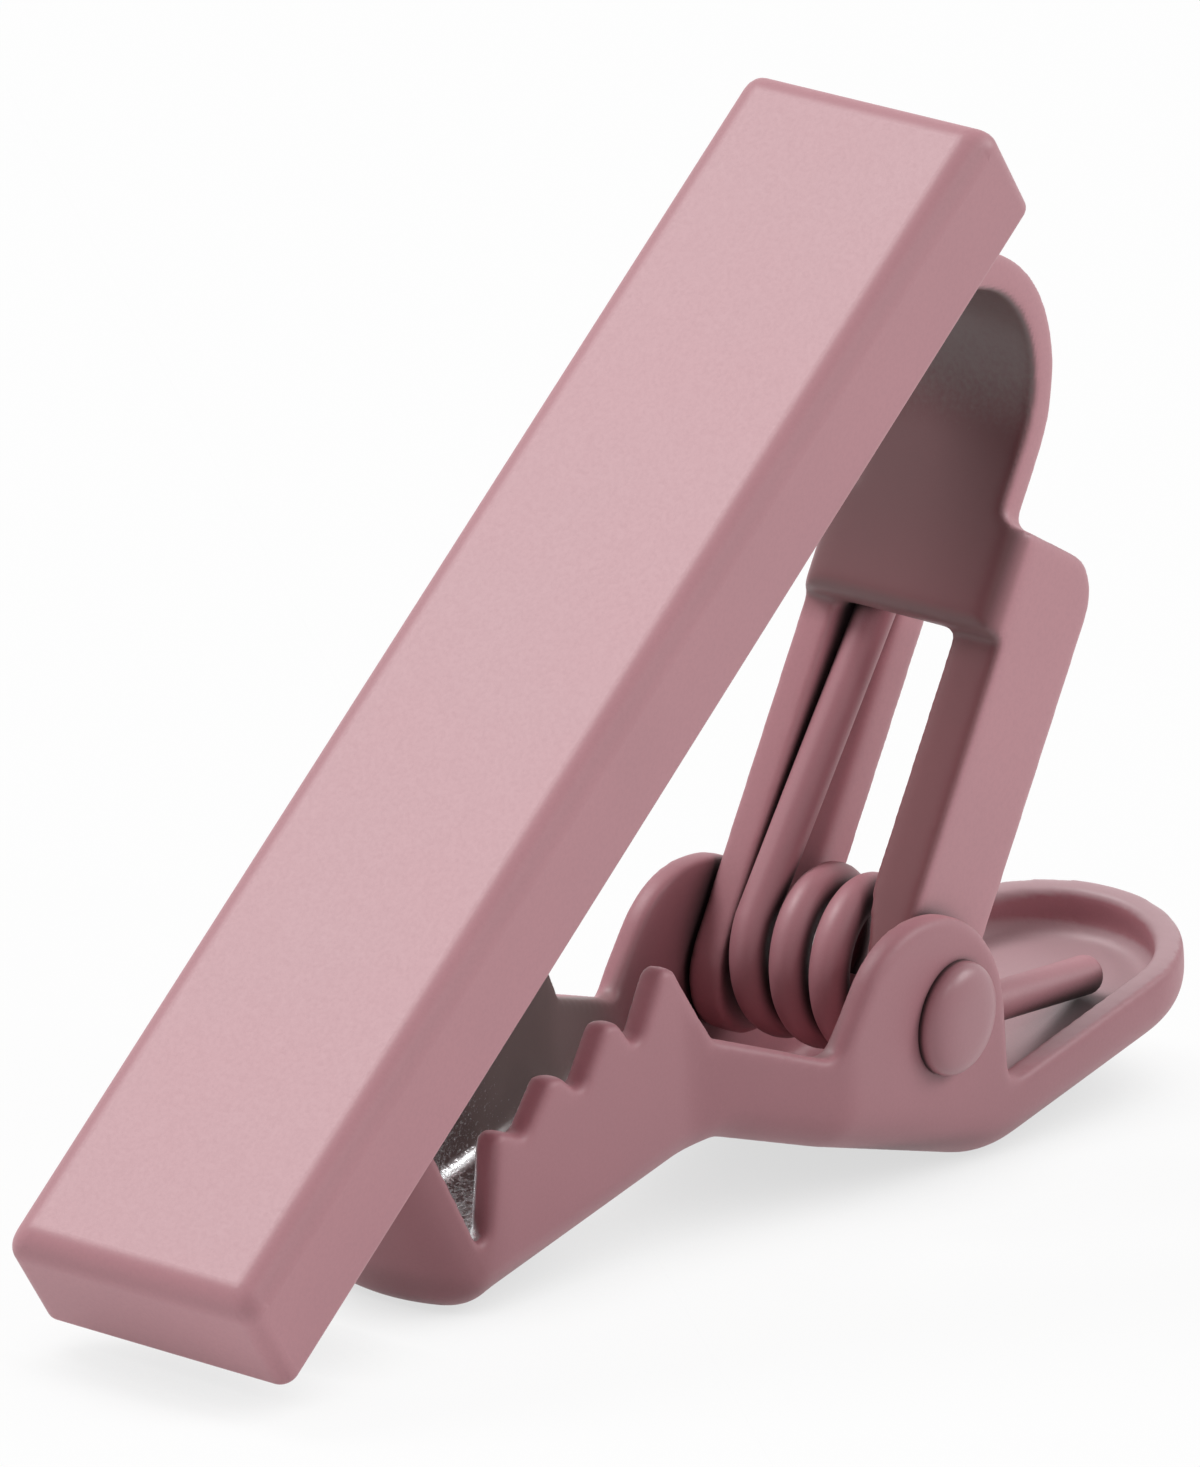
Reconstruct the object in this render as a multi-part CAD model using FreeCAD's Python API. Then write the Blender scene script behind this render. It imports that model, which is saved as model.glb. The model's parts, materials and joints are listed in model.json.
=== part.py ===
import FreeCAD, Part
import math
import os
from FreeCAD import Placement, Rotation, Vector

# A tie clip: a painted bar, a soldered strap with two ears, and a sprung toothed jaw that turns on a rivet.
# Everything is worked out in the bar's frame and then stood on its two contact lines, nose and heel.
# Bar frame: X runs along the bar from its foot end, Y across it, Z out of its front face, which is at Z 0.
# Jaw frame: origin on the rivet, X towards the tail of the lever, Z from the jaw's floor towards the bar.

# Front bar
bar_length = 38.0
bar_width = 7.5
bar_thickness = 3.3
bar_corner_radius = 0.45
bar_front_round = 0.72
bar_back_round = 0.2

# Solder between the bar's back and the strap's foot
solder_thickness = 0.12
solder_bead = 0.35

# Strap: foot, arch, neck and web
strap_thickness = 1.0
strap_width = 4.5
arch_radius = 4.19
arch_setback = 3.9
foot_length = 9.0
foot_end_radius = 1.2
arm_slope = 24.6
arm_length = 14.25
neck_length = 2.0
web_length = 2.85
web_step = 0.6
lip_round = 0.45

# Strap: the two ears of the arm
arm_depth = 3.7
arm_width = 6.1
ear_gap = 4.0
ear_shoulder_radius = 1.4
web_bend_radius = 0.7
notch_radius = 0.4

# Rivet
shank_radius = 0.55
head_radius = 1.5
head_height = 0.65
head_chamfer = 0.4
running_clearance = 0.05
side_clearance = 0.1

# Jaw sheet and its floor, seen from the side
jaw_sheet = 0.75
inner_bend_radius = 0.5
floor_level = -0.2
lever_level = -5.1
nose_lean = 25.6
nose_height = 5.72
nose_clearance = 0.1
ramp_start = 8.0
ramp_end = 1.9
ramp_bend_radius = 0.8
heel_radius = 4.5

# Jaw seen from above: bowed nose, toothed front, flare, ears and round tail
nose_reach = 19.46
nose_side_reach = 18.61
nose_corner_margin = 0.5
nose_bow_radius = 6.0
toothed_width = 5.1
flare_start = 9.4
flare_end = 4.4
flare_radius = 3.0
tail_reach = 13.1

# Teeth along the jaw's two side walls, counted from the nose
tooth_count = 4
tooth_pitch = 2.42
tooth_lean = 1.2
tooth_radius = 0.3
first_tip = 17.5
first_tip_height = 4.45
tip_rise = 0.41
tip_width = 0.55
tip_drop = 0.25
notch_depth = 1.1
notch_depth_step = 0.3
corner_notch_inset = 1.1
corner_notch_height = 1.15
last_tooth_run = 1.2

# Jaw walls behind the teeth: valley, ears and lever rim
valley_height = 2.95
valley_end = 4.78
valley_end_height = 0.87
valley_radius = 0.4
flank_rise = 46.0
crown_radius = 2.8
jaw_ear_height = 3.1
jaw_ear_reach = 2.5
jaw_ear_round = 4.0
rim_level = -3.1
rim_fillet = 0.6

# Torsion spring
wire_diameter = 0.78
coil_radius = 1.85
coil_lift = 0.7
whole_turns = 2
lever_leg_reach = 9.6
arm_leg_overlap = 1.1
leg_clearance = 0.1
coil_clearance = 0.12
gap_points = 600

# Cutting shapes run past what they cut by this much
overrun = 6.0
tolerance = 1e-7

# Sizes that follow
jaw_width = arm_width + 2 * side_clearance + 2 * jaw_sheet
bend_radius = inner_bend_radius + jaw_sheet
nose_corner_radius = bend_radius + nose_corner_margin
arch_inner = arch_radius - strap_thickness
ear_shoulder = arm_length - neck_length
web_end = ear_shoulder - web_length
ear_front = -arm_depth / 2
ear_back = arm_depth / 2
web_front = ear_front - web_step
foot_face = -bar_thickness - solder_thickness
forwards = Vector(0, -1, 0)
upwards = Vector(0, 0, 1)


def rounded_wire(corners):
    """Closed wire through corners, each a point and the radius of its arc, limited by its sides."""
    count = len(corners)
    bends = []
    for index in range(count):
        point, radius = corners[index]
        before = corners[index - 1][0] - point
        after = corners[(index + 1) % count][0] - point
        half = before.getAngle(after) / 2
        bends.append((before, after, half, radius / math.tan(half)))
    ends = []
    for index in range(count):
        point = corners[index][0]
        before, after, half, setback = bends[index]
        room = 1
        for side, neighbour in ((before, bends[index - 1]), (after, bends[(index + 1) % count])):
            room = min(room, side.Length / max(setback + neighbour[3], side.Length))
        radius = room * setback * math.tan(half)
        before = Vector(before).normalize()
        after = Vector(after).normalize()
        inward = (before + after).normalize() * (radius / math.sin(half) - radius)
        ends.append((point + before * (room * setback), point + inward, point + after * (room * setback)))
    edges = []
    for index in range(count):
        start, through, stop = ends[index]
        following = ends[(index + 1) % count][0]
        if corners[index][1] > 0:
            edges.append(Part.Arc(start, through, stop).toShape())
        if (following - stop).Length > tolerance:
            edges.append(Part.LineSegment(stop, following).toShape())
    return Part.Wire(edges)


def inset(corners, distance, axis):
    """The same corners moved inwards by a distance, for a loop that runs left about the axis."""
    count = len(corners)
    moved = []
    for index in range(count):
        point, radius = corners[index]
        inwards = []
        for tail, tip in ((corners[index - 1][0], point), (point, corners[(index + 1) % count][0])):
            inwards.append(axis.cross(tip - tail).normalize())
        shift = (inwards[0] + inwards[1]) * (distance / (1 + inwards[0].dot(inwards[1])))
        hollow = axis.dot(inwards[0].cross(inwards[1])) < 0
        moved.append((point + shift, radius + distance if hollow else max(radius - distance, 0)))
    return moved


def arc_centre(corners, index):
    """Centre of the arc at one corner of a loop."""
    point, radius = corners[index]
    before = (corners[index - 1][0] - point).normalize()
    after = (corners[(index + 1) % len(corners)][0] - point).normalize()
    return point + (before + after).normalize() * (radius / math.sin(before.getAngle(after) / 2))


def across(wire, low, high):
    """Solid between two places across the clip, its outline in the XZ plane."""
    face = Part.Face(wire)
    face.translate(Vector(0, low, 0))
    return face.extrude(Vector(0, high - low, 0))


def upright(wire, low, high):
    """Solid between two heights, its outline in the XY plane."""
    face = Part.Face(wire)
    face.translate(Vector(0, 0, low))
    return face.extrude(Vector(0, 0, high - low))


def round_across(centre, radius, low, high):
    """Round bar along Y through a point of the XZ plane."""
    return Part.makeCylinder(radius, high - low, Vector(centre.x, low, centre.z), Vector(0, 1, 0))


def both_sides(solid):
    """A solid and its mirror image across the clip."""
    return [solid, solid.mirror(Vector(0, 0, 0), Vector(0, 1, 0))]


def middle_of(edge):
    return edge.valueAt((edge.FirstParameter + edge.LastParameter) / 2)


# Places of the arm in the bar frame
slope = math.radians(arm_slope)
arm_up = Vector(math.cos(slope), 0, math.sin(slope))
arm_back = Vector(math.sin(slope), 0, -math.cos(slope))
arch_centre = Vector(bar_length - arch_setback, 0, foot_face - arch_radius)
web_top = arch_centre + arm_back * arch_inner
pin = web_top - arm_up * arm_length - arm_back * web_front
coil_centre = pin + arm_up * coil_lift


def on_arm(along, behind):
    """Point of the arm, measured from the rivet up the arm and back across it."""
    return pin + arm_up * along + arm_back * behind


def front_bar():
    """Flat bar, with well rounded front edges, small corners and barely broken back edges."""
    document = FreeCAD.newDocument("bar")
    block = document.addObject("Part::Box", "block")
    block.Length = bar_length
    block.Width = bar_width
    block.Height = bar_thickness
    block.Placement.Base = Vector(0, -bar_width / 2, -bar_thickness)
    document.recompute()
    rounds = []
    for number, edge in enumerate(block.Shape.Edges, start=1):
        if abs(edge.tangentAt(edge.FirstParameter).z) > tolerance:
            radius = bar_corner_radius
        else:
            radius = bar_front_round if middle_of(edge).z > -tolerance else bar_back_round
        rounds.append((number, radius, radius))
    rounded = document.addObject("Part::Fillet", "rounded")
    rounded.Base = block
    rounded.Edges = rounds
    document.recompute()
    return rounded.Shape.copy()


def foot_corners(spread):
    """Outline of the strap's foot on the bar's back, spread by a margin."""
    start = arch_centre.x - foot_length - spread
    half = strap_width / 2 + spread
    radius = foot_end_radius + spread
    return [(Vector(start, -half, 0), radius), (Vector(arch_centre.x, -half, 0), 0),
            (Vector(arch_centre.x, half, 0), 0), (Vector(start, half, 0), radius)]


def solder_joint():
    """Thin layer of solder that spreads a little past the foot."""
    return upright(rounded_wire(foot_corners(solder_bead)), foot_face, -bar_thickness)


def strip():
    """Foot, arch and the top of the web as one bent strip."""
    foot_start = Vector(arch_centre.x - foot_length, 0, foot_face)
    down = Vector(0, 0, -1)
    side = Vector(1, 0, 0)
    run = arm_length - ear_shoulder
    halfway = (side + (arm_back - down).normalize()).normalize()
    bends = []
    for radius in (arch_radius, arch_inner):
        start = arch_centre - down * radius
        stop = arch_centre + arm_back * radius
        bends.append((start, Part.Arc(start, arch_centre + halfway * radius, stop).toShape(), stop))
    outer, inner = bends
    foot_end = [inner[0], foot_start + down * strap_thickness, foot_start, outer[0]]
    web_end_face = [outer[2], outer[2] - arm_up * run, inner[2] - arm_up * run, inner[2]]
    edges = [outer[1], inner[1]]
    for chain in (foot_end, web_end_face):
        for index in range(len(chain) - 1):
            edges.append(Part.LineSegment(chain[index], chain[index + 1]).toShape())
    wire = Part.Wire(Part.__sortEdges__(edges))
    solid = across(wire, -strap_width / 2, strap_width / 2)
    ends = [edge for edge in solid.Edges if abs(middle_of(edge).x - foot_start.x) < tolerance
            and abs(edge.tangentAt(edge.FirstParameter).z) > tolerance]
    return solid.makeFillet(foot_end_radius, ends)


def web():
    """Part of the strap as wide as the arm, with a rounded lip, hollow top corners and two bends."""
    back = web_front + strap_thickness
    corners = [(on_arm(web_end, web_front), lip_round), (on_arm(ear_shoulder, web_front), 0),
               (on_arm(ear_shoulder, back), 0), (on_arm(web_end, back), 0)]
    block = across(rounded_wire(corners), -arm_width / 2, arm_width / 2).fuse(both_sides(notch_corner()))
    section = [(on_arm(0, web_front) - Vector(0, arm_width / 2, 0), web_bend_radius),
               (on_arm(0, web_front) + Vector(0, arm_width / 2, 0), web_bend_radius),
               (on_arm(0, back) + Vector(0, arm_width / 2, 0), 0),
               (on_arm(0, back) - Vector(0, arm_width / 2, 0), 0)]
    return block.common(Part.Face(rounded_wire(section)).extrude(arm_up * arm_length))


def notch_corner():
    """Hollow corner where the strip's side runs into the top of the web."""
    side = strap_width / 2
    foot = on_arm(ear_shoulder, web_front) + Vector(0, side, 0)
    out = Vector(0, notch_radius, 0)
    up = arm_up * notch_radius
    middle = foot + (out + up) * (1 - math.sqrt(0.5))
    edges = [Part.LineSegment(foot, foot + out).toShape(),
             Part.Arc(foot + out, middle, foot + up).toShape(),
             Part.LineSegment(foot + up, foot).toShape()]
    return Part.Face(Part.Wire(edges)).extrude(arm_back * strap_thickness)


def arm_ear():
    """Ear that runs back from one bend of the web and down round the rivet."""
    half = arm_depth / 2
    inside = web_front + web_bend_radius
    corners = [(on_arm(ear_shoulder, inside), 0), (on_arm(ear_shoulder, ear_back), ear_shoulder_radius),
               (on_arm(-half, ear_back), half), (on_arm(-half, ear_front), half),
               (on_arm(web_end, ear_front), 0), (on_arm(web_end, inside), 0)]
    return across(rounded_wire(corners), ear_gap / 2, arm_width / 2)


def arch_strap():
    """Strip, web and ears in one piece, bored for the rivet."""
    strap = strip().fuse([web()] + both_sides(arm_ear())).removeSplitter()
    return strap.cut(round_across(pin, shank_radius + running_clearance, -arm_width, arm_width))


def under_corners():
    """Side view of the jaw's underside, from under the nose to the tail, closed above the teeth."""
    above = floor_level + nose_height + overrun
    front = -nose_reach - nose_height - overrun
    far = tail_reach + overrun
    return [(Vector(front, 0, floor_level), 0), (Vector(-ramp_start, 0, floor_level), ramp_bend_radius),
            (Vector(ramp_end, 0, lever_level), heel_radius), (Vector(far, 0, lever_level), 0),
            (Vector(far, 0, above), 0), (Vector(front, 0, above), 0)]


def nose_plan():
    """The jaw's nose from above, bowed between its two corners."""
    front = toothed_width / 2
    seam = -flare_start - flare_radius / 2
    return [(Vector(-nose_side_reach, -front, 0), nose_corner_radius), (Vector(seam, -front, 0), 0),
            (Vector(seam, front, 0), 0), (Vector(-nose_side_reach, front, 0), nose_corner_radius),
            (Vector(-nose_reach, 0, 0), nose_bow_radius)]


def body_plan():
    """The jaw behind its nose from above: toothed front, flare, ears and round tail."""
    front = toothed_width / 2
    wide = jaw_width / 2
    seam = 2 * nose_corner_radius - nose_side_reach
    near_side = [(Vector(seam, -front, 0), 0), (Vector(-flare_start, -front, 0), flare_radius),
                 (Vector(-flare_end, -wide, 0), flare_radius), (Vector(tail_reach, -wide, 0), wide)]
    far_side = [(Vector(point.x, -point.y, 0), radius) for point, radius in reversed(near_side)]
    return near_side + far_side


def jaw_block(under, nose, body, bend):
    """Solid between an underside and the plans of nose and body, rounded where floor and walls meet."""
    reach = toothed_width + jaw_width
    low = min(point.z for point, radius in under) - overrun
    high = max(point.z for point, radius in under)
    rise = Vector(-math.tan(math.radians(nose_lean)), 0, 1)
    front = Part.Face(rounded_wire(nose))
    front.translate(rise * (low - floor_level) + upwards * floor_level)
    walls = upright(rounded_wire(body), low, high).fuse(front.extrude(rise * (high - low)))
    block = across(rounded_wire(under), -reach, reach).common(walls).removeSplitter()
    bends = []
    for edge in block.Edges:
        kinds = set()
        for face in block.ancestorsOfType(edge, Part.Face):
            normal = face.normalAt(*face.Surface.parameter(middle_of(edge)))
            kinds.add("floor" if abs(normal.y) < tolerance and abs(normal.z) > math.sqrt(0.5) else "wall")
        if len(kinds) > 1 and middle_of(edge).z < high - tolerance:
            bends.append(edge)
    return block.makeFillet(bend, bends)


def tooth_corners():
    """Top line of a side wall from the corner notch to the last tooth."""
    corners = []
    for index in range(tooth_count):
        tip = Vector(index * tooth_pitch - first_tip, 0, first_tip_height + index * tip_rise)
        if index > 0:
            depth = notch_depth + (index - 1) * notch_depth_step
            corners.append((tip - Vector(tooth_lean, 0, depth), tooth_radius))
        corners.append((tip, tooth_radius))
        corners.append((tip + Vector(tip_width, 0, -tip_drop), tooth_radius))
    return corners


def flap_corners():
    """Side view of the nose flap: its outer tip, its inner tip and the foot of the notch behind it."""
    lean = math.radians(nose_lean)
    flap_up = Vector(-math.sin(lean), 0, math.cos(lean))
    flap_in = Vector(math.cos(lean), 0, math.sin(lean))
    outer = Vector(-nose_reach, 0, floor_level) + flap_up * (nose_height / math.cos(lean))
    inner = outer + flap_in * ((nose_reach - nose_side_reach + corner_notch_inset) * math.cos(lean))
    notch = inner + flap_up * ((corner_notch_height - inner.z) / math.cos(lean))
    return outer, inner, notch


def side_corners():
    """Side view of the jaw's walls and nose flap: what the sheet is trimmed to."""
    outer, inner, notch = flap_corners()
    teeth = tooth_corners()
    valley = Vector(teeth[-1][0].x + last_tooth_run, 0, valley_height)
    flank = Vector(-valley_end, 0, valley_end_height)
    run = (jaw_ear_height - valley_end_height) / math.tan(math.radians(flank_rise))
    low = lever_level - overrun
    far = tail_reach + overrun
    corners = [(Vector(outer.x - overrun, 0, low), 0),
               (Vector(far, 0, low), 0),
               (Vector(far, 0, rim_level), 0),
               (Vector(jaw_ear_reach, 0, rim_level), rim_fillet),
               (Vector(jaw_ear_reach, 0, jaw_ear_height), jaw_ear_round),
               (Vector(run - valley_end, 0, jaw_ear_height), crown_radius),
               (flank, valley_radius), (valley, valley_radius)]
    corners += reversed(teeth)
    corners += [(notch, tooth_radius), (inner, 0), (outer + (outer - inner).normalize() * overrun, 0)]
    return corners


def jaw():
    """One bent sheet: nose flap, toothed walls, ears, heel and dished lever, in the jaw frame."""
    under = under_corners()
    nose = nose_plan()
    body = body_plan()
    outside = jaw_block(under, nose, body, bend_radius)
    under = inset(under, jaw_sheet, forwards)
    nose = inset(nose, jaw_sheet, upwards)
    body = inset(body, jaw_sheet, upwards)
    inside = jaw_block(under, nose, body, inner_bend_radius)
    trim = across(rounded_wire(side_corners()), -jaw_width, jaw_width)
    sheet = outside.cut(inside).common(trim)
    return sheet.cut(round_across(Vector(0, 0, 0), shank_radius, -jaw_width, jaw_width))


def hinge_rivet():
    """Shank with a button head against the outside of each jaw ear, in the jaw frame."""
    half = jaw_width / 2
    rivet = round_across(Vector(0, 0, 0), shank_radius, -half, half)
    head = round_across(Vector(0, 0, 0), head_radius, half, half + head_height)
    rim = [edge for edge in head.Edges if middle_of(edge).y > half + tolerance
           and edge.Length > head_radius and len(edge.Vertexes) == 1]
    head = head.makeChamfer(head_chamfer, rim)
    return rivet.fuse(both_sides(head)).removeSplitter()


def closed_turn():
    """Turn of the jaw about the rivet, in degrees, that lays its nose on the bar's back."""
    drop = -bar_thickness - nose_clearance - pin.z
    turns = []
    for corner in flap_corners()[:2]:
        turns.append(math.asin(drop / corner.Length) - math.atan2(corner.z, -corner.x))
    return math.degrees(min(turns))


jaw_turn = closed_turn()
in_bar = Placement(pin, Rotation(Vector(0, 1, 0), jaw_turn))


def arc_from(start, along, stop):
    """Arc that leaves a point in a given direction and ends at another point."""
    chord = stop - start
    forward = chord.dot(along) / chord.Length
    sideways = (along * chord.Length - chord * forward).normalize()
    middle = (start + stop) * 0.5 + sideways * (chord.Length / 2 * math.tan(math.acos(forward) / 2))
    return Part.Arc(start, middle, stop).toShape()


def biarc(start, along_start, stop, along_stop):
    """Two tangent arcs between two points with given directions."""
    chord = stop - start
    ahead = chord.dot(along_start + along_stop)
    spread = 2 * (1 - along_start.dot(along_stop))
    reach = (math.sqrt(ahead * ahead + spread * chord.dot(chord)) - ahead) / spread
    joint = (start + stop + (along_start - along_stop) * reach) * 0.5
    return [arc_from(start, along_start, joint),
            arc_from(joint, (joint - start - along_start * reach).normalize(), stop)]


def leg_turn(end, side):
    """Turn, in radians, where a straight leg from a point beside the coil meets it, on one side."""
    along = (end - coil_centre).dot(arm_up)
    behind = (end - coil_centre).dot(arm_back)
    return math.atan2(behind, along) + side * math.acos(coil_radius / math.hypot(along, behind))


def leg_length(end):
    """Length of a straight leg from the coil to a point beside it."""
    return math.sqrt((end - coil_centre).Length ** 2 - coil_radius ** 2)


def spring_path():
    """Middle line of the spring: leg behind the web, coil round the rivet, leg on the lever."""
    lip = on_arm(web_end, web_front + strap_thickness + wire_diameter / 2 + leg_clearance)
    lever = Vector(lever_leg_reach, 0, lever_level + jaw_sheet + wire_diameter / 2 + leg_clearance)
    lever = in_bar.multVec(lever)
    start_turn = leg_turn(lip, -1)
    stop_turn = leg_turn(lever, 1)
    circle = 2 * math.pi
    whole = (start_turn - stop_turn) % circle + whole_turns * circle
    count = math.ceil(4 * whole / circle)
    side = ear_gap / 2 - coil_clearance - wire_diameter / 2
    fall = 2 * side / whole
    points = []
    aheads = []
    for index in range(count + 1):
        turn = start_turn - whole * index / count
        round_coil = arm_up * math.cos(turn) + arm_back * math.sin(turn)
        ahead = (arm_up * math.sin(turn) - arm_back * math.cos(turn)) * coil_radius
        if 0 < index < count:
            ahead.y = -fall
        shift = Vector(0, side - 2 * side * index / count, 0)
        points.append(coil_centre + round_coil * coil_radius + shift)
        aheads.append(ahead.normalize())
    arm_leg_end = points[0] - aheads[0] * (leg_length(lip) + arm_leg_overlap)
    edges = [Part.LineSegment(arm_leg_end, points[0]).toShape()]
    for index in range(count):
        edges += biarc(points[index], aheads[index], points[index + 1], aheads[index + 1])
    edges.append(Part.LineSegment(points[-1], points[-1] + aheads[-1] * leg_length(lever)).toShape())
    return Part.Wire(edges)


def torsion_spring(path):
    """Wire wound round the rivet, with two straight legs."""
    leg = path.Edges[0]
    end = leg.valueAt(leg.FirstParameter)
    section = Part.Circle(end, leg.tangentAt(leg.FirstParameter), wire_diameter / 2)
    pipe = Part.BRepOffsetAPI.MakePipeShell(path)
    pipe.add(Part.Wire(section.toShape()))
    pipe.build()
    pipe.makeSolid()
    return pipe.shape()


def least_gap(path):
    """Least gap of the wire to itself, between points of its middle line over half a turn apart."""
    points = path.discretize(gap_points)
    apart = math.ceil(math.pi * coil_radius * gap_points / path.Length)
    gaps = []
    for index in range(len(points)):
        gaps += [(points[index] - other).Length for other in points[index + apart:]]
    return min(gaps) - wire_diameter


def stance():
    """Placement that stands the clip on the round under the jaw's nose and on its heel."""
    under = under_corners()
    bend = [(flap_corners()[0], 0), (Vector(-nose_reach, 0, floor_level), bend_radius), under[1]]
    nose = in_bar.multVec(arc_centre(bend, 1))
    heel = in_bar.multVec(arc_centre(under, 2))
    between = heel - nose
    turn = math.atan2(between.z, between.x) - math.asin((heel_radius - bend_radius) / between.Length)
    lean = Rotation(Vector(0, 1, 0), math.degrees(turn))
    return Placement(Vector(0, 0, bend_radius - lean.multVec(nose).z), lean)


coil_path = spring_path()
standing = stance()
shapes = {"front_bar": front_bar(), "solder_joint": solder_joint(), "arch_strap": arch_strap(),
          "torsion_spring": torsion_spring(coil_path), "jaw": jaw(), "hinge_rivet": hinge_rivet()}
for name, shape in shapes.items():
    shape.Placement = standing * in_bar if name in ("jaw", "hinge_rivet") else standing
extent = Part.makeCompound(list(shapes.values())).optimalBoundingBox()
centring = Placement(Vector(-extent.Center.x, 0, 0), Rotation())
os.makedirs("parts", exist_ok=True)
for name, shape in shapes.items():
    shape.Placement = centring * shape.Placement
    shape.exportStep("parts/" + name + ".step")
    state = "valid" if shape.isValid() else "not valid"
    print(name, state, len(shape.Solids), "solid,", round(shape.Volume, 2))
print("rivet", (centring * standing).multVec(pin), "jaw turn", jaw_turn)
print("bar origin", (centring * standing).Base, "turned", standing.Rotation.toEuler()[1])
print("length, width, height", extent.XLength, extent.YLength, extent.ZLength, "lowest", extent.ZMin)
print("least gap of the spring's wire to itself", least_gap(coil_path))
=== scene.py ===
import json
import math

import bmesh
import bpy
from bpy.props import FloatProperty, FloatVectorProperty, IntProperty, PointerProperty
from mathutils import Matrix, Vector


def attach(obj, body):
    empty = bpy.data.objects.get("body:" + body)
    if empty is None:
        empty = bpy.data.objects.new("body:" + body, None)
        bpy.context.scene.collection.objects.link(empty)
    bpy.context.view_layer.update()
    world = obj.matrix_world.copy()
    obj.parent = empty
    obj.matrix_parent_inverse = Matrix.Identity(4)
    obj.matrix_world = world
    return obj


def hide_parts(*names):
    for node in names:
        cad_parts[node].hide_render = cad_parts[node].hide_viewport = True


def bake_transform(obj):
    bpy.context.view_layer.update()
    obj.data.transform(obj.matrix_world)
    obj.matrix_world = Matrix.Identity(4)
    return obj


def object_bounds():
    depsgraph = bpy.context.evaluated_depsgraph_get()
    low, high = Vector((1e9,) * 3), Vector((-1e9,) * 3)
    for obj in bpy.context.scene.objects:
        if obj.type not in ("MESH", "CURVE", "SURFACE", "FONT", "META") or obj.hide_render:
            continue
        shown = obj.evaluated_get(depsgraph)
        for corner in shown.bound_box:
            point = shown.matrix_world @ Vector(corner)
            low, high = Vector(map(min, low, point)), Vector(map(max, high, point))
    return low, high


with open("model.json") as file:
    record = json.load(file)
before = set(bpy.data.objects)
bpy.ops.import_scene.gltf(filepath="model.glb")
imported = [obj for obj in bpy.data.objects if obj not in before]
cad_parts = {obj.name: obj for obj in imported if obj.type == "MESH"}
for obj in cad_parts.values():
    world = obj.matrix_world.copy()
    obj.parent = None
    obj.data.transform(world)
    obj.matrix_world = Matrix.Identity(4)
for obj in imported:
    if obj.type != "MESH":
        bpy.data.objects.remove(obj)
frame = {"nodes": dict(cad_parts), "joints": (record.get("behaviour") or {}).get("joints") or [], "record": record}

bl_info = {
    "name": "Tie Clip",
    "version": (1, 0, 0),
    "blender": (4, 5, 0),
    "location": "3D View > Sidebar > Tie Clip",
    "description": "Painted tie clip with a sprung, toothed jaw, dressed on its CAD frame",
    "category": "Object",
}

MM = 0.001
CAD_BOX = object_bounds()

# Directions and places of the clip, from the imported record
MOUNTS = {mount["name"]: mount for mount in frame["record"]["mounts"]}
BAR_MIDDLE = Vector(MOUNTS["bar_front"]["pos_m"])
BAR_OUT = Vector(MOUNTS["bar_front"]["axis"])
BAR_ALONG = Vector((BAR_OUT.z, 0, -BAR_OUT.x))
RIVET = Vector(frame["joints"][0]["pos_m"])
ACROSS = Vector((0, 1, 0))

# Angles of the CAD that the spring and the paint follow
ARM_SLOPE = math.radians(24.6)
LEVER_SLOPE = math.radians(12.98)
ARM_UP = BAR_ALONG * math.cos(ARM_SLOPE) + BAR_OUT * math.sin(ARM_SLOPE)
ARM_BACK = BAR_ALONG * math.sin(ARM_SLOPE) - BAR_OUT * math.cos(ARM_SLOPE)
LEVER_OUT = Vector((math.cos(LEVER_SLOPE), 0, math.sin(LEVER_SLOPE)))
LEVER_UP = Vector((-math.sin(LEVER_SLOPE), 0, math.cos(LEVER_SLOPE)))

# Middle of the arch, from the middle of the bar's front
ARCH_ALONG = 15.1 * MM
ARCH_DEPTH = 7.61 * MM
ARCH_MIDDLE = BAR_MIDDLE + BAR_ALONG * ARCH_ALONG - BAR_OUT * ARCH_DEPTH

# Points of a new shape that are closer than this are one
TOUCHING = 0.001 * MM

WHITE = (1, 1, 1)
LAMP_DISTANCE = 1.0


class TieClipShape(bpy.types.PropertyGroup):
    """Sizes of what is shaped here and not in the CAD."""

    grain: FloatProperty(
        name="Grain", description="Size of the faces that follow the stampings' softened edges",
        default=0.115 * MM, min=0.1 * MM, max=0.3 * MM, precision=6, unit="LENGTH")
    wear: IntProperty(
        name="Wear", description="Rounds of smoothing that soften the stampings' edges",
        default=10, min=1, max=40)
    wire: FloatProperty(
        name="Wire", description="Diameter of the spring's wire",
        default=1.05 * MM, min=0.5 * MM, max=1.1 * MM, precision=5, unit="LENGTH")
    coil: FloatProperty(
        name="Coil", description="Radius of the coil at the middle of its wire",
        default=1.85 * MM, min=1.4 * MM, max=2.0 * MM, precision=5, unit="LENGTH")
    coil_side: FloatProperty(
        name="Coil Side", description="Distance of each leg from the middle of the clip",
        default=1.435 * MM, min=0.8 * MM, max=1.45 * MM, precision=5, unit="LENGTH")


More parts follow.
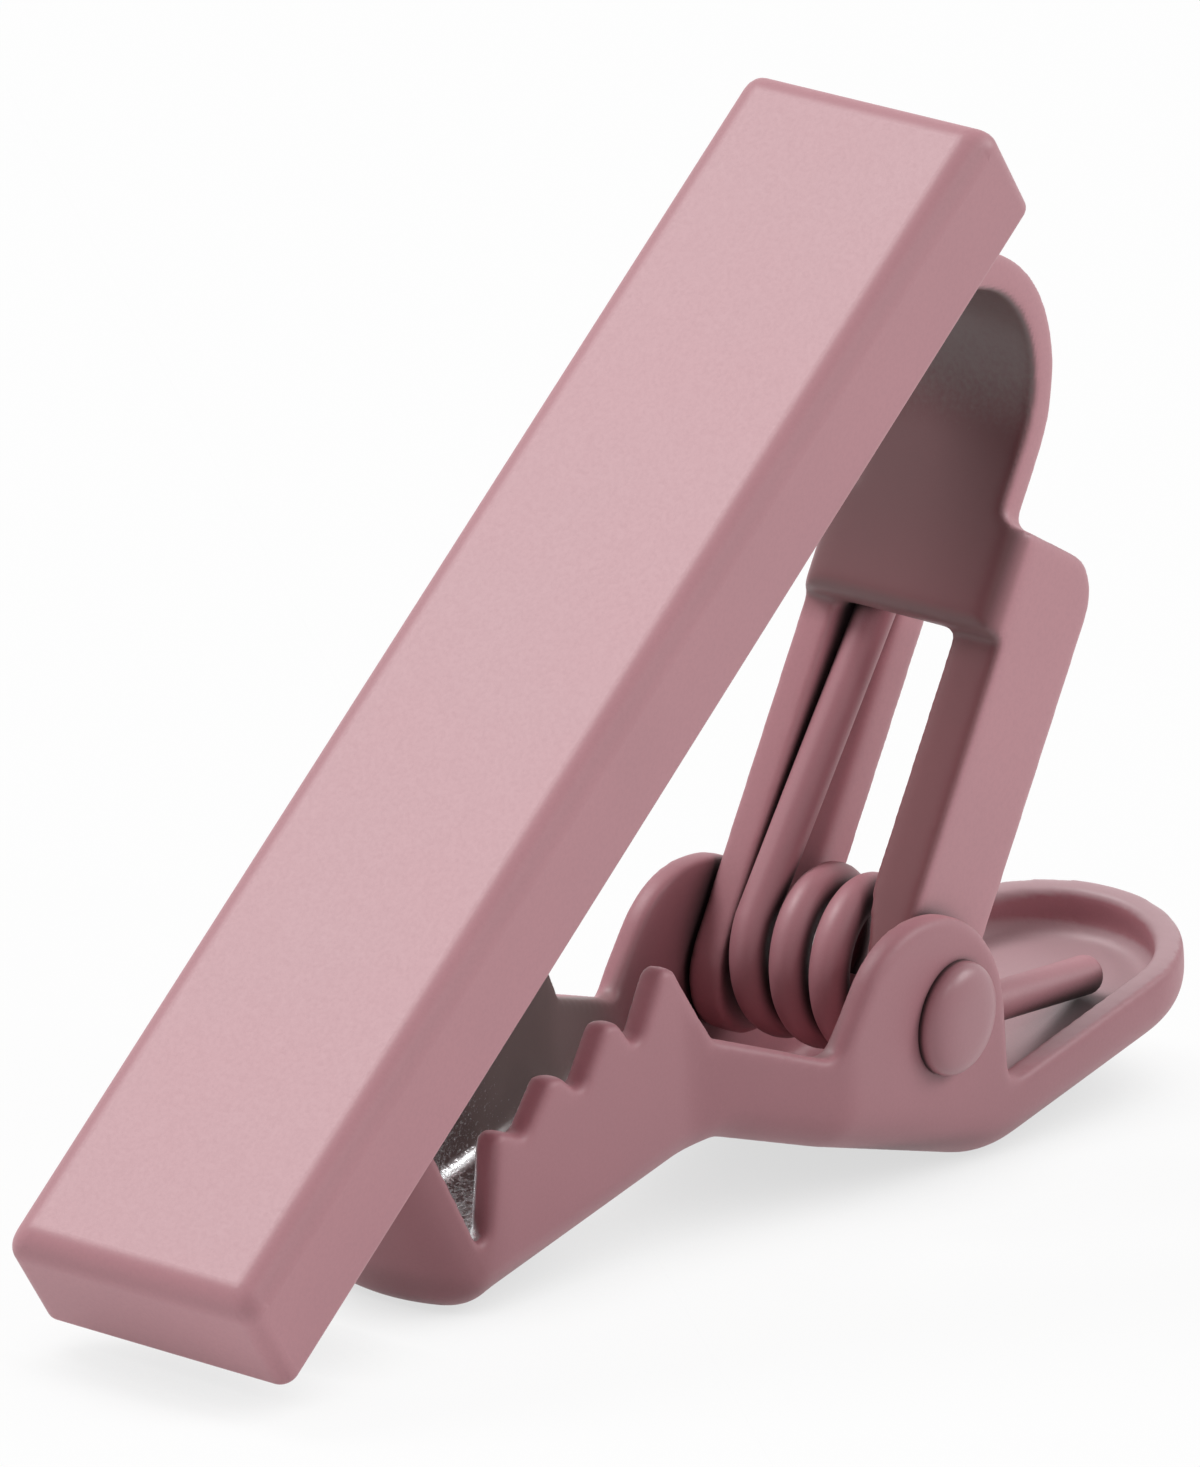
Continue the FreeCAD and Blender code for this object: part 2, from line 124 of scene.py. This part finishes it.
class TieClipFinish(bpy.types.PropertyGroup):
    """Colours of the clip."""

    paint: FloatVectorProperty(
        name="Paint", description="Colour of the matte paint",
        default=(0.57, 0.262, 0.299), min=0, max=1, size=3, subtype="COLOR")
    # Painted shade: the dark colour put inside the arch, on the web and ear fronts, and on the jaw's nose plate.
    deep_shade: FloatVectorProperty(
        name="Deep Paint", description="Colour of the paint inside the arch, where little of it settles",
        default=(0.236, 0.077, 0.087), min=0, max=1, size=3, subtype="COLOR")
    # Thin paint inside the arch and the jaw, and also the dark colour of painted shade in narrow gaps and under
    # the web's lip.
    thin_paint_and_shade: FloatVectorProperty(
        name="Thin Paint", description="Colour where the paint barely reaches",
        default=(0.2, 0.15, 0.145), min=0, max=1, size=3, subtype="COLOR")
    steel: FloatVectorProperty(
        name="Steel", description="Colour of the bare steel inside the jaw",
        default=(0.78, 0.79, 0.8), min=0, max=1, size=3, subtype="COLOR")


class TieClipStage(bpy.types.PropertyGroup):
    """Camera and light."""

    azimuth: FloatProperty(
        name="Azimuth", description="Turn of the camera round the clip",
        default=math.radians(-56.0774), subtype="ANGLE")
    elevation: FloatProperty(
        name="Elevation", description="Height of the camera above the horizon",
        default=math.radians(16.0263), subtype="ANGLE")
    roll: FloatProperty(
        name="Roll", description="Lean of the camera about its own line of sight",
        default=math.radians(4.4391), subtype="ANGLE")
    distance: FloatProperty(
        name="Distance", description="Distance of the camera from the point that it looks at",
        default=449.306 * MM, precision=5, unit="LENGTH")
    aim: FloatVectorProperty(
        name="Aim", description="Point that the camera looks at",
        default=(-1.1206 * MM, 1.334 * MM, 12.4913 * MM), precision=6, size=3, subtype="TRANSLATION")
    lens: FloatProperty(
        name="Lens", description="Focal length in millimetres", default=441.72, min=50, max=2000)
    sky: FloatProperty(
        name="Sky", description="Strength of the light from all round", default=0.2, min=0, max=2)
    key: FloatProperty(
        name="Key Lamp", description="Power of the large lamp above and behind, in watts",
        default=5.65, min=0, max=50)
    fill: FloatProperty(
        name="Fill Lamp", description="Power of the lamp at the right, in watts",
        default=3.2, min=0, max=50)
    spark: FloatProperty(
        name="Spark Lamp", description="Power of the small lamp that gives the highlights, in watts",
        default=0.6, min=0, max=50)


class Value:
    """A socket of a material. Sums of it with numbers or other sockets add Math nodes."""

    def __init__(self, finish, socket):
        self.finish = finish
        self.socket = socket

    def math(self, operation, first, second):
        return self.finish.node("ShaderNodeMath", {"operation": operation}, {0: first, 1: second})

    def __add__(self, other):
        return self.math("ADD", self, other)

    def __sub__(self, other):
        return self.math("SUBTRACT", self, other)

    def __rsub__(self, other):
        return self.math("SUBTRACT", other, self)

    def __mul__(self, other):
        return self.math("MULTIPLY", self, other)

    def __getitem__(self, name):
        return Value(self.finish, self.socket.node.outputs[name])

    __radd__ = __add__
    __rmul__ = __mul__


class Finish:
    """A procedural material, or the sky, built up node by node."""

    def __init__(self, owner):
        owner.use_nodes = True
        self.owner = owner
        self.nodes = owner.node_tree.nodes
        self.links = owner.node_tree.links
        self.nodes.clear()

    def node(self, kind, settings=None, sockets=None):
        made = self.nodes.new(kind)
        for setting, value in (settings or {}).items():
            setattr(made, setting, value)
        for socket, value in (sockets or {}).items():
            if isinstance(value, Value):
                self.links.new(value.socket, made.inputs[socket])
            else:
                made.inputs[socket].default_value = value
        return Value(self, made.outputs[0]) if made.outputs else None

    def place(self, middle=(0, 0, 0), lean=0):
        """Coordinates in millimetres from a point, leaned about the line across the clip."""
        seen = self.node("ShaderNodeTexCoord")["Object"]
        return self.node("ShaderNodeMapping", {"vector_type": "TEXTURE"}, {
            "Vector": seen, "Location": middle, "Rotation": (0, lean, 0), "Scale": (MM, MM, MM)})

    def axes(self, place):
        """X, Y and Z of coordinates."""
        return self.node("ShaderNodeSeparateXYZ", None, {0: place})

    def noise(self, place, scale, detail=2, roughness=0.5):
        return self.node("ShaderNodeTexNoise", None,
                         {"Vector": place, "Scale": scale, "Detail": detail, "Roughness": roughness})

    def step(self, value, low, high):
        """Smooth step from 0 at low to 1 at high."""
        return self.node("ShaderNodeMapRange", {"interpolation_type": "SMOOTHSTEP"},
                         {"Value": value, "From Min": low, "From Max": high})

    def mix(self, share, first, second):
        mixed = self.node("ShaderNodeMix", {"data_type": "RGBA"}, {0: share, 6: first, 7: second})
        return Value(self, mixed.socket.node.outputs[2])

    def attribute(self, name):
        return self.node("ShaderNodeAttribute", {"attribute_name": name})["Fac"]

    def openness(self, reach, samples):
        """1 in the open, less where other faces are within a reach in millimetres."""
        return self.node("ShaderNodeAmbientOcclusion", {"samples": samples}, {"Distance": reach * MM})["AO"]

    def narrow_gaps(self, reach):
        """1 deep in narrow gaps, where shade is painted; 0 in the open and beside the floor."""
        above_floor = self.step(self.axes(self.place())["Z"], 0.2, 1.6)
        return (1 - self.step(self.openness(reach, samples=8), 0.2, 0.82)) * above_floor

    def bump(self, height):
        """Normals of the paint's fine relief."""
        return self.node("ShaderNodeBump", None,
                         {"Strength": 0.16, "Distance": 0.02 * MM, "Height": height})

    def surface(self, sockets):
        shader = self.node("ShaderNodeBsdfPrincipled", None, sockets)
        self.node("ShaderNodeOutputMaterial", None, {"Surface": shader})
        return self.owner

    def background_rays(self):
        """1 for rays that show the background: the camera's, and those off metal or through glass."""
        path = self.node("ShaderNodeLightPath")
        seen = path["Is Camera Ray"]
        for ray in ("Is Glossy Ray", "Is Transmission Ray"):
            seen = seen.math("MAXIMUM", seen, path[ray])
        return seen


def rgba(colour, share=1.0):
    """A colour with its brightness times a share."""
    return (*[part * share for part in colour], 1)


def painted(finish, place, colours, gap_reach=0, share=1.0):
    """Colour, roughness and height of the matte powder paint, with painted shade in narrow gaps."""
    cloud = finish.noise(place, scale=0.16)
    grain = finish.noise(place, scale=9.0, detail=3, roughness=0.7)
    fleck = finish.noise(place, scale=22.0, detail=1)
    dull = rgba(colours.paint, share * 0.965)
    bright = rgba(colours.paint, share * 1.02)
    shade = finish.mix(finish.step(cloud, 0.3, 0.7), dull, bright)
    shade = finish.mix(finish.step(grain, 0.35, 0.75) * 0.16, shade, rgba(colours.paint, 0.72))
    shade = finish.mix(finish.step(fleck, 0.62, 0.8) * 0.1, shade, rgba(colours.paint, 1.3))
    if gap_reach:
        # Painted shade: the paint is darker where other faces are near.
        shade = finish.mix(finish.narrow_gaps(gap_reach), shade, rgba(colours.thin_paint_and_shade, 0.2))
    rough = 0.4 + 0.1 * grain + 0.04 * cloud
    height = grain * 0.7 + fleck * 0.3
    return shade, rough, height


def paint_finish(name, colours, gap_reach=0, share=1.0, gloss=0.75, polish=0):
    """Matte paint all over."""
    finish = Finish(bpy.data.materials.new(name))
    shade, rough, height = painted(finish, finish.place(), colours, gap_reach, share)
    return finish.surface({
        "Base Color": shade, "Roughness": rough - polish, "Specular IOR Level": gloss,
        "Normal": finish.bump(height)})


def strap_finish(colours):
    """Matte paint with painted shade inside the arch, on the web and ear fronts and under the web's lip, and thin
    grey paint high inside the arch.
    """
    finish = Finish(bpy.data.materials.new("strap_paint"))
    place = finish.place()
    # share 1.05 paints the strap a little lighter than the bar, as painted light; gap_reach adds painted shade in
    # narrow gaps.
    shade, rough, height = painted(finish, place, colours, gap_reach=1.1, share=1.05)
    lean = -math.atan2(BAR_ALONG.z, BAR_ALONG.x)
    along = finish.axes(finish.place(ARCH_MIDDLE, lean))["X"]
    inner = finish.attribute("inner")
    speck = finish.noise(place, scale=7.0, roughness=0.6)
    into_arch = finish.step(along, -6.0, 0.5)
    # Painted shade inside the arch and on the web and ear fronts, darker deeper into the arch.
    deep = finish.mix(into_arch, rgba(colours.deep_shade), rgba(colours.deep_shade, 0.55))
    grey = finish.step(along + 1.5 * speck, 2.1, 4.1)
    shade = finish.mix(inner, shade, deep)
    shade = finish.mix(inner * grey * 0.85, shade, rgba(colours.thin_paint_and_shade, 0.85))
    # Painted shade under the web's lip.
    shade = finish.mix(finish.attribute("lip") * 0.7, shade, rgba(colours.thin_paint_and_shade, 0.9))
    return finish.surface({
        "Base Color": shade, "Roughness": rough, "Specular IOR Level": 0.75,
        "Normal": finish.bump(height)})


def jaw_finish(colours):
    """Matte paint outside, thin paint and speckled bare steel inside the nose, with painted shade on the nose
    plate, painted light inside the lever and a painted highlight on the bends' rubbed steel.
    """
    finish = Finish(bpy.data.materials.new("jaw_paint"))
    place = finish.place(RIVET, -LEVER_SLOPE)
    # share 0.875 paints the jaw a shade darker than the bar, as painted shade; gap_reach adds painted shade in
    # narrow gaps.
    shade, rough, height = painted(finish, place, colours, gap_reach=1.7, share=0.875)
    along = finish.axes(place)["X"]
    inside = finish.attribute("inside")
    toward_nose = 1 - finish.step(along, -7.0, -2.5)
    thin = inside * toward_nose
    speck = finish.noise(place, scale=10.0, detail=3, roughness=0.7)
    bare = inside * finish.step(speck - 0.06 * along, 1.33, 1.45)
    # Rubbed bare steel along the bends near the nose, brightened beyond the other steel as a painted highlight
    # line.
    rubbed_and_highlit = finish.attribute("bend") * (1 - finish.step(along, -14.0, -11.0))
    # Painted shade on the nose plate, which lies in the bar's shadow.
    flap = 1 - finish.step(along, -18.6, -16.8)
    # Painted light: the inside of the lever is made lighter and greyer with a share of steel.
    lever = inside * finish.step(along, 3.0, 6.0)
    shade = finish.mix(flap * 0.35, shade, rgba(colours.deep_shade))
    shade = finish.mix(lever * 0.25, shade, rgba(colours.steel))
    shade = finish.mix(thin, shade, rgba(colours.thin_paint_and_shade))
    shade = finish.mix(bare, shade, rgba(colours.steel))
    shade = finish.mix(rubbed_and_highlit, shade, rgba(colours.steel, 1.2))
    glitter = 6 * bare * speck
    return finish.surface({
        "Base Color": shade, "Roughness": rough - 0.2 * bare - 0.05 * thin - 0.2 * rubbed_and_highlit,
        "Metallic": bare * 0.8 + rubbed_and_highlit * 0.6, "Specular IOR Level": 0.45,
        "Normal": finish.bump(height + glitter)})


def ramp(value, low, high):
    """Straight step from 0 at low to 1 at high."""
    return min(max((value - low) / (high - low), 0), 1)


def link(name, shape):
    """Object of a finished bmesh, which is freed."""
    mesh = bpy.data.meshes.new(name)
    shape.to_mesh(mesh)
    shape.free()
    piece = bpy.data.objects.new(name, mesh)
    bpy.context.scene.collection.objects.link(piece)
    return piece


def shade_smooth(shape):
    """Points the faces of a closed shape outwards and shades them smoothly."""
    bmesh.ops.recalc_face_normals(shape, faces=shape.faces)
    for face in shape.faces:
        face.smooth = True


def merged(node):
    """Copy of a CAD node with its loose triangles joined."""
    shape = bmesh.new()
    shape.from_mesh(frame["nodes"][node].data)
    bmesh.ops.remove_doubles(shape, verts=shape.verts, dist=2 * TOUCHING)
    bmesh.ops.dissolve_limit(shape, angle_limit=math.radians(0.3), verts=shape.verts, edges=shape.edges)
    return shape


def softened(shape, grain, rounds):
    """Copy of a shape with the worn, painted-over edges of a stamping. The shape is freed."""
    bmesh.ops.scale(shape, vec=(1 / MM, 1 / MM, 1 / MM), verts=shape.verts)
    rough = link("rough", shape)
    skin = rough.modifiers.new("skin", "REMESH")
    skin.mode = "VOXEL"
    skin.voxel_size = grain / MM
    wear = rough.modifiers.new("wear", "SMOOTH")
    wear.factor = 0.5
    wear.iterations = rounds
    soft = bmesh.new()
    soft.from_object(rough, bpy.context.evaluated_depsgraph_get())
    bmesh.ops.scale(soft, vec=(MM, MM, MM), verts=soft.verts)
    shade_smooth(soft)
    soft.normal_update()
    bpy.data.meshes.remove(rough.data)
    return soft


def even_normals(piece):
    """Keeps flat faces flat beside their roundings."""
    even = piece.modifiers.new("even_normals", "WEIGHTED_NORMAL")
    even.keep_sharp = True
    even.weight = 100


def dress(piece, material):
    piece.data.materials.clear()
    piece.data.materials.append(material)


class CLIP_OT_paint_bar(bpy.types.Operator):
    """Paints the front bar and the solder behind it"""

    bl_idname = "clip.paint_bar"
    bl_label = "Paint Front Bar"

    def execute(self, context):
        colours = context.scene.tie_clip_finish
        dress(frame["nodes"]["front_bar"], paint_finish("bar_paint", colours))
        dress(frame["nodes"]["solder_joint"], paint_finish("solder_paint", colours))
        return {"FINISHED"}


class CLIP_OT_soften_strap(bpy.types.Operator):
    """Makes the soldered strap with softened edges and paints it"""

    bl_idname = "clip.soften_strap"
    bl_label = "Soften Strap"

    extra_wear: IntProperty(
        name="Extra Wear", description="Rounds of smoothing beyond those of the jaw",
        default=6, min=0, max=40)

    def execute(self, context):
        sizes = context.scene.tie_clip_shape
        shape = merged("arch_strap")
        self.thicken_ears(shape)
        shape = softened(shape, sizes.grain, sizes.wear + self.extra_wear)
        self.mark_paint_and_shade(shape)
        strap = link("strap", shape)
        dress(strap, strap_finish(context.scene.tie_clip_finish))
        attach(strap, "frame")
        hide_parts("arch_strap")
        return {"FINISHED"}

    @staticmethod
    def thicken_ears(shape):
        """Brings the ears' inner faces in above the coil, behind the spring's leg at the far one."""
        low = 0.8 * MM
        high = 2.6 * MM
        leg_clear = 0.5 * MM
        web_level = 9.5 * MM
        inner_side = 1.5 * MM
        outer_side = 2.03 * MM
        near_inset = 0.48 * MM
        far_inset = 0.5 * MM
        cuts = [(ARM_UP, low), (ARM_UP, high), (ARM_BACK, 0), (ARM_BACK, leg_clear)]
        for direction, reach in cuts:
            everything = shape.verts[:] + shape.edges[:] + shape.faces[:]
            bmesh.ops.bisect_plane(shape, geom=everything, dist=TOUCHING,
                                   plane_co=RIVET + direction * reach, plane_no=direction)
        for vert in shape.verts:
            spot = vert.co - RIVET
            up = spot.dot(ARM_UP)
            behind = spot.dot(ARM_BACK)
            if up < (low + high) / 2 or not inner_side < abs(spot.y) < outer_side:
                continue
            if spot.y < 0 and behind < 0 and up < web_level:
                vert.co.y += near_inset
            if spot.y > 0 and behind > leg_clear / 2:
                vert.co.y -= far_inset

    @staticmethod
    def mark_paint_and_shade(shape):
        """Marks where shade is painted: the inside of the arch and arm, and the web's lower lip."""
        web_low = 8.5 * MM
        web_high = 9.5 * MM
        lip_low = 9 * MM
        lip_high = 10.4 * MM
        arch_inside = 3.5 * MM
        far_share = 0.15
        inner = shape.verts.layers.float.new("inner")
        lip = shape.verts.layers.float.new("lip")
        for vert in shape.verts:
            spot = vert.co - RIVET
            up = spot.dot(ARM_UP)
            web = ramp(up, web_low, web_high)
            # The near ear's front takes the full painted shade of the bar's shadow, the far ear's front only a
            # little.
            ear = 1.0 if spot.y < 0 else far_share
            facing = ramp(vert.normal.dot(-ARM_BACK), 0.2, 0.867)
            from_arch = ARCH_MIDDLE - vert.co
            from_arch.y = 0
            hollow = ramp(vert.normal.dot(from_arch.normalized()), 0.3, 0.8)
            hollow *= float(from_arch.length < arch_inside)
            vert[inner] = max(hollow, facing * max(web, ear))
            under = ramp(vert.normal.dot(-ARM_UP), 0.1875, 0.8125)
            vert[lip] = under * float(lip_low < up < lip_high)


class CLIP_OT_soften_jaw(bpy.types.Operator):
    """Makes the toothed jaw with softened edges and paints it"""

    bl_idname = "clip.soften_jaw"
    bl_label = "Soften Jaw"

    def execute(self, context):
        sizes = context.scene.tie_clip_shape
        shape = merged("jaw")
        sharp = math.radians(38)
        cut = [edge for edge in shape.edges if edge.calc_face_angle() > sharp]
        bmesh.ops.bevel(shape, geom=cut, offset=1.7 * sizes.grain, offset_type="OFFSET", segments=3,
                        profile=0.5, affect="EDGES", clamp_overlap=False, material=-1)
        shape = softened(shape, sizes.grain, sizes.wear)
        self.mark_paint_and_shade(shape)
        jaw = link("toothed_jaw", shape)
        dress(jaw, jaw_finish(context.scene.tie_clip_finish))
        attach(jaw, "jaw_body")
        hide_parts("jaw")
        return {"FINISHED"}

    @staticmethod
    def mark_paint_and_shade(shape):
        """Marks the inside of the trough, and the bends along its floor."""
        middle_height = 3.2 * MM
        inside = shape.verts.layers.float.new("inside")
        bend = shape.verts.layers.float.new("bend")
        for vert in shape.verts:
            spot = vert.co - RIVET
            axis = RIVET + LEVER_OUT * spot.dot(LEVER_OUT) + LEVER_UP * middle_height
            vert[inside] = ramp(vert.normal.dot((axis - vert.co).normalized()), 0.3, 0.5)
            # The bends mark where the rubbed steel with its painted highlight goes.
            corner = 2 * abs(vert.normal.dot(LEVER_UP) * vert.normal.y)
            vert[bend] = vert[inside] * ramp(corner, 0.65, 0.9)


class CLIP_OT_turn_rivet(bpy.types.Operator):
    """Turns the hinge rivet with its domed heads and paints it"""

    bl_idname = "clip.turn_rivet"
    bl_label = "Turn Rivet"

    sides: IntProperty(name="Sides", description="Sides of the rivet", default=96, min=16, max=256)
    rings: IntProperty(name="Rings", description="Rings of each dome", default=14, min=3, max=64)

    def execute(self, context):
        face = 3.9 * MM
        shank = 0.4 * MM
        head = 1.5 * MM
        height = 0.65 * MM
        fullness = 0.62
        side = [(shank, 0), (shank, face), (head, face)]
        for ring in range(1, self.rings + 1):
            turn = math.pi / 2 * ring / self.rings
            side.append((head * math.cos(turn) ** fullness, face + height * math.sin(turn) ** fullness))
        side[-1] = (0, face + height)
        shape = bmesh.new()
        outline = [*[(out, -along) for out, along in reversed(side)], *side[1:]]
        points = [shape.verts.new(RIVET + LEVER_OUT * out + ACROSS * along) for out, along in outline]
        for first, second in zip(points, points[1:]):
            shape.edges.new((first, second))
        bmesh.ops.spin(shape, geom=shape.verts[:] + shape.edges[:], cent=RIVET, axis=ACROSS,
                       angle=math.tau, steps=self.sides, use_merge=True)
        bmesh.ops.remove_doubles(shape, verts=shape.verts, dist=TOUCHING)
        shade_smooth(shape)
        rivet = link("rivet", shape)
        even_normals(rivet)
        colours = context.scene.tie_clip_finish
        # share 0.84 paints the rivet a shade darker than the bar, as painted shade; gap_reach adds painted shade
        # in narrow gaps.
        dress(rivet, paint_finish("rivet_paint", colours, gap_reach=1.1, share=0.84, gloss=0.6,
                                  polish=0.12))
        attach(rivet, "jaw_body")
        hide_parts("hinge_rivet")
        return {"FINISHED"}


class CLIP_OT_wind_spring(bpy.types.Operator):
    """Winds the torsion spring round the rivet, with one leg behind the web and one on the lever"""

    bl_idname = "clip.wind_spring"
    bl_label = "Wind Spring"

    sides: IntProperty(name="Sides", description="Sides of the wire", default=24, min=8, max=64)
    steps: IntProperty(
        name="Steps", description="Steps in each turn of the coil", default=72, min=16, max=256)

    def execute(self, context):
        sizes = context.scene.tie_clip_shape
        whole_turns = 2
        coil_rise = 0.7 * MM
        web_end = 9.4 * MM
        web_back = -1.45 * MM
        lever_reach = 9.6 * MM
        lever_floor = -4.35 * MM
        leg_gap = 0.05 * MM
        overlap = 1.1 * MM
        end_rounding = 0.16 * MM
        clear = sizes.wire / 2 + leg_gap
        coil_middle = RIVET + ARM_UP * coil_rise
        lip = RIVET + ARM_UP * web_end + ARM_BACK * (web_back + clear)
        lever = RIVET + LEVER_OUT * lever_reach + LEVER_UP * (lever_floor + clear)
        lip_turn, lip_run = self.tangent(lip - coil_middle, sizes.coil, side=-1)
        lever_turn, lever_run = self.tangent(lever - coil_middle, sizes.coil, side=1)
        turn = (lip_turn - lever_turn) % math.tau + whole_turns * math.tau
        steps = math.ceil(self.steps * turn / math.tau)
        spoke = ARM_UP * math.cos(lip_turn) + ARM_BACK * math.sin(lip_turn)
        ahead = ARM_UP * math.sin(lip_turn) - ARM_BACK * math.cos(lip_turn)
        section = Matrix((spoke, ACROSS, ahead)).transposed().to_4x4()
        section.translation = coil_middle + spoke * sizes.coil + ACROSS * sizes.coil_side
        shape = bmesh.new()
        bmesh.ops.create_circle(shape, segments=self.sides, radius=sizes.wire / 2, matrix=section)
        first = shape.edges[:]
        wound = bmesh.ops.spin(shape, geom=shape.verts[:] + first, cent=coil_middle, axis=-ACROSS,
                               angle=turn, dvec=-ACROSS * (2 * sizes.coil_side / steps), steps=steps)
        last = [part for part in wound["geom_last"] if isinstance(part, bmesh.types.BMEdge)]
        stop = ahead.copy()
        stop.rotate(Matrix.Rotation(-turn, 3, ACROSS))
        for ring, run in ((first, ahead * -(lip_run + overlap)), (last, stop * lever_run)):
            leg = bmesh.ops.extrude_edge_only(shape, edges=ring)["geom"]
            tip = [part for part in leg if isinstance(part, bmesh.types.BMVert)]
            bmesh.ops.translate(shape, verts=tip, vec=run)
            end = [part for part in leg if isinstance(part, bmesh.types.BMEdge) and part.is_boundary]
            bmesh.ops.contextual_create(shape, geom=end)
            bmesh.ops.bevel(shape, geom=end, offset=end_rounding, offset_type="OFFSET", segments=3,
                            profile=0.5, affect="EDGES", material=-1)
        shade_smooth(shape)
        spring = link("spring", shape)
        even_normals(spring)
        colours = context.scene.tie_clip_finish
        # share 0.9 paints the spring a shade darker than the bar, as painted shade; gap_reach adds painted shade
        # in narrow gaps.
        dress(spring, paint_finish("spring_paint", colours, gap_reach=1.7, share=0.9, gloss=0.6))
        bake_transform(spring)
        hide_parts("torsion_spring")
        return {"FINISHED"}

    @staticmethod
    def tangent(leg_end, radius, side):
        """Turn at which a straight leg meets the coil, and the leg's length."""
        along = leg_end.dot(ARM_UP)
        behind = leg_end.dot(ARM_BACK)
        reach = math.hypot(along, behind)
        turn = math.atan2(behind, along) + side * math.acos(radius / reach)
        return turn, math.sqrt(reach ** 2 - radius ** 2)


class CLIP_OT_set_stage(bpy.types.Operator):
    """Lays the floor and sets the lamps, the sky and the camera"""

    bl_idname = "clip.set_stage"
    bl_label = "Set Stage"

    def execute(self, context):
        stage = context.scene.tie_clip_stage
        self.lay_floor()
        self.open_sky(context.scene, stage.sky)
        self.hang_lamp("key_lamp", Vector((-0.2, 0.52, 0.83)), size=0.42, power=stage.key)
        self.hang_lamp("fill_lamp", Vector((0.6, -0.6, 0.5)), size=0.5, power=stage.fill)
        self.hang_lamp("spark_lamp", Vector((0, -0.75, 0.67)), size=0.08, power=stage.spark)
        self.aim_camera(context.scene, stage)
        context.scene.view_settings.view_transform = "Standard"
        return {"FINISHED"}

    @staticmethod
    def lay_floor():
        shape = bmesh.new()
        bmesh.ops.create_grid(shape, x_segments=1, y_segments=1, size=3)
        floor = link("floor", shape)
        finish = Finish(bpy.data.materials.new("white_floor"))
        paper = finish.node("ShaderNodeBsdfDiffuse", None, {"Color": rgba(WHITE, 0.92)})
        # The glow darkens where the clip is near: a painted contact shadow on the floor, beside the real shadow on
        # the paper.
        clear = finish.step(finish.openness(reach=5, samples=16), 0, 0.8)
        shade = finish.mix(clear, rgba(WHITE, 0.72), rgba(WHITE))
        glow = finish.node("ShaderNodeEmission", None, {"Color": shade, "Strength": 1})
        share = 0.94 * finish.background_rays()
        mixed = finish.node("ShaderNodeMixShader", None, {0: share, 1: paper, 2: glow})
        finish.node("ShaderNodeOutputMaterial", None, {"Surface": mixed})
        dress(floor, finish.owner)

    @staticmethod
    def open_sky(scene, strength):
        scene.world = bpy.data.worlds.new("sky")
        sky = Finish(scene.world)
        lit = sky.node("ShaderNodeBackground", None, {"Color": rgba(WHITE), "Strength": strength})
        white = sky.node("ShaderNodeBackground", None, {"Color": rgba(WHITE), "Strength": 1})
        mixed = sky.node("ShaderNodeMixShader", None, {0: sky.background_rays(), 1: lit, 2: white})
        sky.node("ShaderNodeOutputWorld", None, {"Surface": mixed})

    @staticmethod
    def hang_lamp(name, direction, size, power):
        lamp = bpy.data.lights.new(name, "AREA")
        lamp.shape = "DISK"
        lamp.size = size
        lamp.energy = power
        hung = bpy.data.objects.new(name, lamp)
        middle = (CAD_BOX[0] + CAD_BOX[1]) / 2
        away = direction.normalized()
        hung.location = middle + away * LAMP_DISTANCE
        hung.rotation_mode = "QUATERNION"
        hung.rotation_quaternion = (-away).to_track_quat("-Z", "Y")
        bpy.context.scene.collection.objects.link(hung)

    @staticmethod
    def aim_camera(scene, stage):
        camera = bpy.data.cameras.new("camera")
        camera.lens = stage.lens
        camera.sensor_width = 36
        camera.clip_start = 0.01
        camera.clip_end = 10
        held = bpy.data.objects.new("camera", camera)
        level = math.cos(stage.elevation)
        back = Vector((math.sin(stage.azimuth) * level, -math.cos(stage.azimuth) * level,
                       math.sin(stage.elevation)))
        held.location = Vector(stage.aim) + back * stage.distance
        turned = (-back).to_track_quat("-Z", "Y").to_matrix() @ Matrix.Rotation(stage.roll, 3, "Z")
        held.rotation_mode = "QUATERNION"
        held.rotation_quaternion = turned.to_quaternion()
        scene.collection.objects.link(held)
        scene.camera = held


GROUPS = {
    "tie_clip_shape": TieClipShape,
    "tie_clip_finish": TieClipFinish,
    "tie_clip_stage": TieClipStage,
}
STEPS = (
    CLIP_OT_set_stage,
    CLIP_OT_paint_bar,
    CLIP_OT_soften_strap,
    CLIP_OT_soften_jaw,
    CLIP_OT_turn_rivet,
    CLIP_OT_wind_spring,
)


class CLIP_PT_sidebar(bpy.types.Panel):
    """Lists the steps that dress the clip, with their sizes and colours"""

    bl_idname = "CLIP_PT_sidebar"
    bl_label = "Tie Clip"
    bl_space_type = "VIEW_3D"
    bl_region_type = "UI"
    bl_category = "Tie Clip"

    def draw(self, context):
        for step in STEPS:
            self.layout.operator(step.bl_idname)
        for name in GROUPS:
            values = getattr(context.scene, name)
            for setting in values.bl_rna.properties.keys():
                if setting not in ("rna_type", "name"):
                    self.layout.prop(values, setting)


CLASSES = (*GROUPS.values(), *STEPS, CLIP_PT_sidebar)


def register():
    for kind in CLASSES:
        bpy.utils.register_class(kind)
    for name, group in GROUPS.items():
        setattr(bpy.types.Scene, name, PointerProperty(type=group))


def unregister():
    for name in GROUPS:
        delattr(bpy.types.Scene, name)
    for kind in reversed(CLASSES):
        bpy.utils.unregister_class(kind)


def main():
    register()
    bpy.ops.clip.set_stage()
    bpy.ops.clip.paint_bar()
    bpy.ops.clip.soften_strap()
    bpy.ops.clip.soften_jaw()
    bpy.ops.clip.turn_rivet()
    bpy.ops.clip.wind_spring()


if __name__ == "__main__":
    main()
